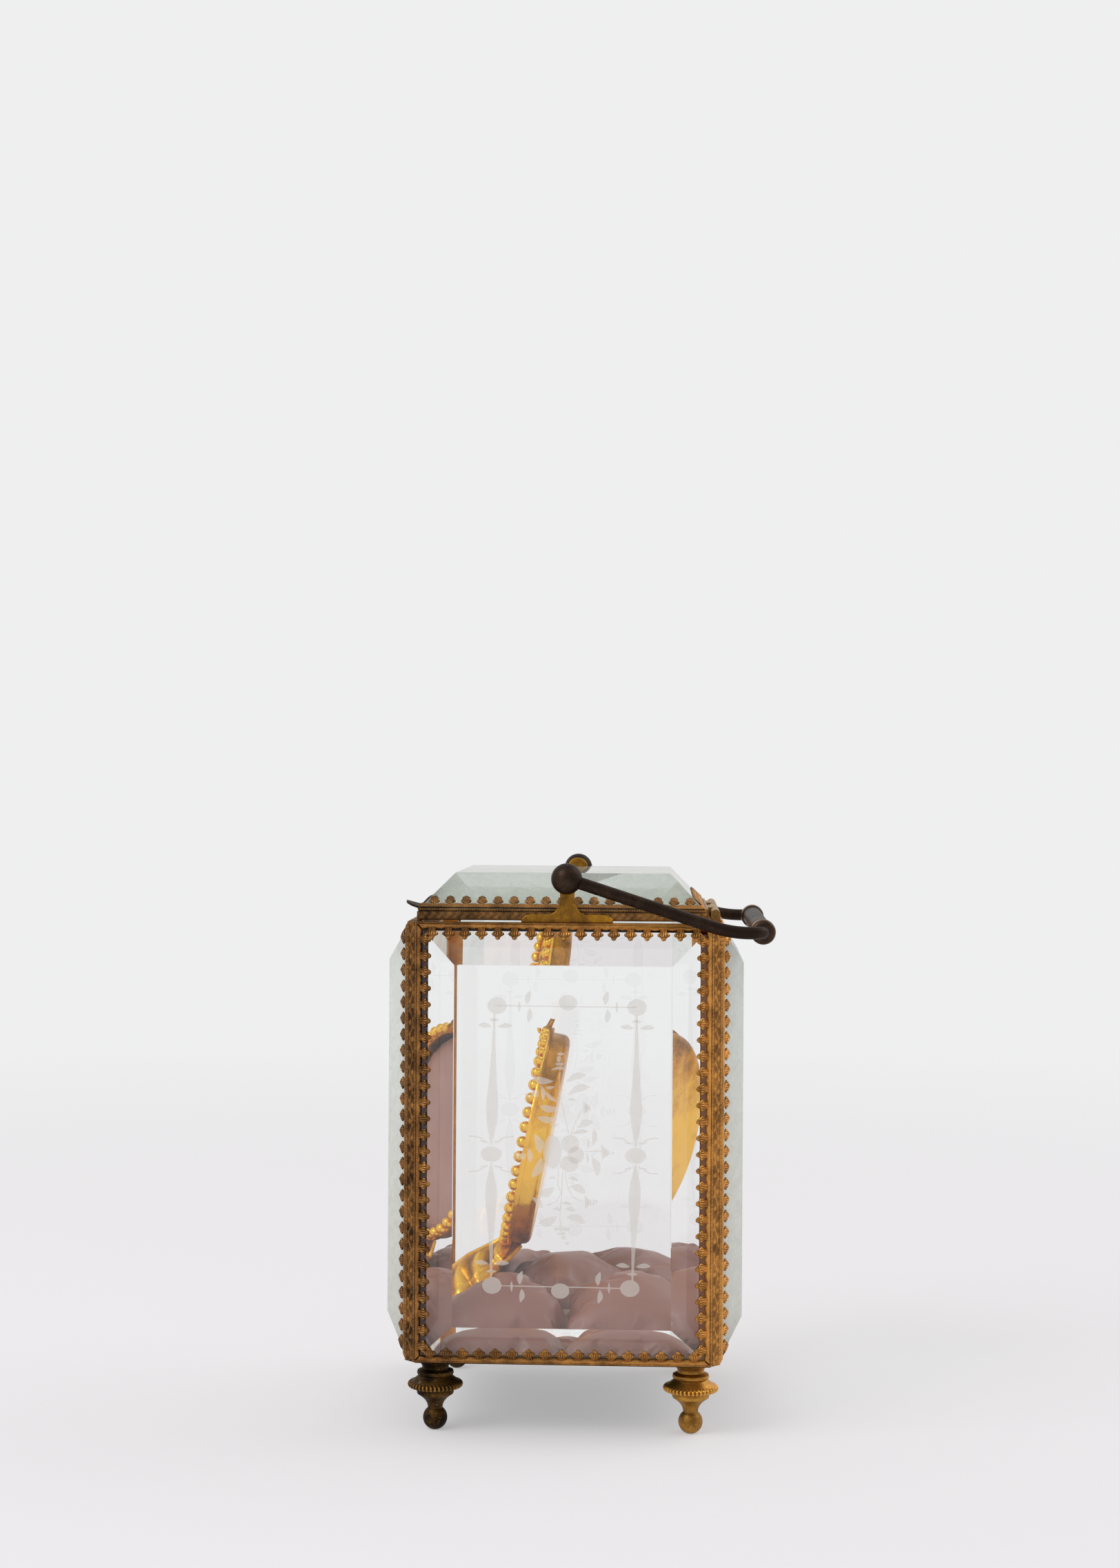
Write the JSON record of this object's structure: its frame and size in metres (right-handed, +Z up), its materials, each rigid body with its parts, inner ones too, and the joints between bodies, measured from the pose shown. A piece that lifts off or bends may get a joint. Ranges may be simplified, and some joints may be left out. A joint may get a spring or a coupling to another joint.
{
  "type": "glass watch display case",
  "caption": "Bevelled-glass and gilt-brass casket on turned feet with a hinged lid, a swinging bail handle, a tufted cushion and an upright oval watch stand.",
  "frame": {"origin": "on the table, under the middle of the object's bounding box with the handle laid back", "axes": "+Z up, -Y to the front (the side with the finger tab, which the watch faces), +X to the right side"},
  "size_m": [0.0734, 0.078, 0.1144],
  "materials": {
    "gallery_brass": "stamped, gilt, dull with age",
    "inner_brass": "gilt, bright",
    "foot_bronze": "turned, gilt, worn to brown",
    "panel_glass": "bevelled, polished, side panels engraved",
    "lid_glass": "bevelled, polished",
    "plate_metal": "dark sheet metal",
    "board_card": "card",
    "silk": "mauve silk satin",
    "wool": "fluffy wool tufts",
    "stand_gilt": "bright gilt",
    "bracket_gilt": "gilt, partly tarnished",
    "hinge_brass": "dull brass",
    "lid_brass": "stamped, gilt, dull with age",
    "handle_bronze": "dark brown patina"
  },
  "bodies": {
    "case": {"corner_strip_back_right": "gallery_brass", "inner_angle_back_right": "inner_brass", "corner_strip_back_left": "gallery_brass", "inner_angle_back_left": "inner_brass", "corner_strip_front_right": "gallery_brass", "inner_angle_front_right": "inner_brass", "corner_strip_front_left": "gallery_brass", "inner_angle_front_left": "inner_brass", "top_rail_right": "gallery_brass", "bottom_rail_right": "gallery_brass", "glass_right": "panel_glass", "top_rail_back": "gallery_brass", "bottom_rail_back": "gallery_brass", "glass_back": "panel_glass", "top_rail_left": "gallery_brass", "bottom_rail_left": "gallery_brass", "glass_left": "panel_glass", "top_rail_front": "gallery_brass", "bottom_rail_front": "gallery_brass", "glass_front": "panel_glass", "base_plate": "plate_metal", "feet": "foot_bronze", "cushion_board": "board_card", "cushion": "silk", "tuft_buttons": "wool", "stand_cup": "stand_gilt", "stand_beading": "stand_gilt", "stand_crest": "stand_gilt", "stand_foot": "stand_gilt", "watch_hook": "stand_gilt", "stand_pad": "silk", "brackets": "bracket_gilt", "pivot_pins": "bracket_gilt", "hinge_leaf_case": "hinge_brass", "hinge_pin": "hinge_brass"},
    "lid": {"lid_glass": "lid_glass", "lid_tab": "lid_brass", "hinge_leaf_lid": "hinge_brass", "lid_rail_right": "lid_brass", "lid_rail_back": "lid_brass", "lid_rail_left": "lid_brass", "lid_rail_front": "lid_brass"},
    "handle": {"grip_barrel": "handle_bronze", "handle_balls": "handle_bronze", "handle_arms": "handle_bronze", "grip_collars": "handle_bronze"}
  },
  "joints": [
    {"name": "lid_hinge", "type": "hinge", "parent": "case", "child": "lid", "pos_m": [0, 0.0272, 0.104], "axis": [-1, 0, 0], "range_deg": [0, 110]},
    {"name": "handle_swing", "type": "hinge", "parent": "case", "child": "handle", "pos_m": [0, -0.0025, 0.1113], "axis": [1, 0, 0], "range_deg": [0, 209.8]}
  ]
}
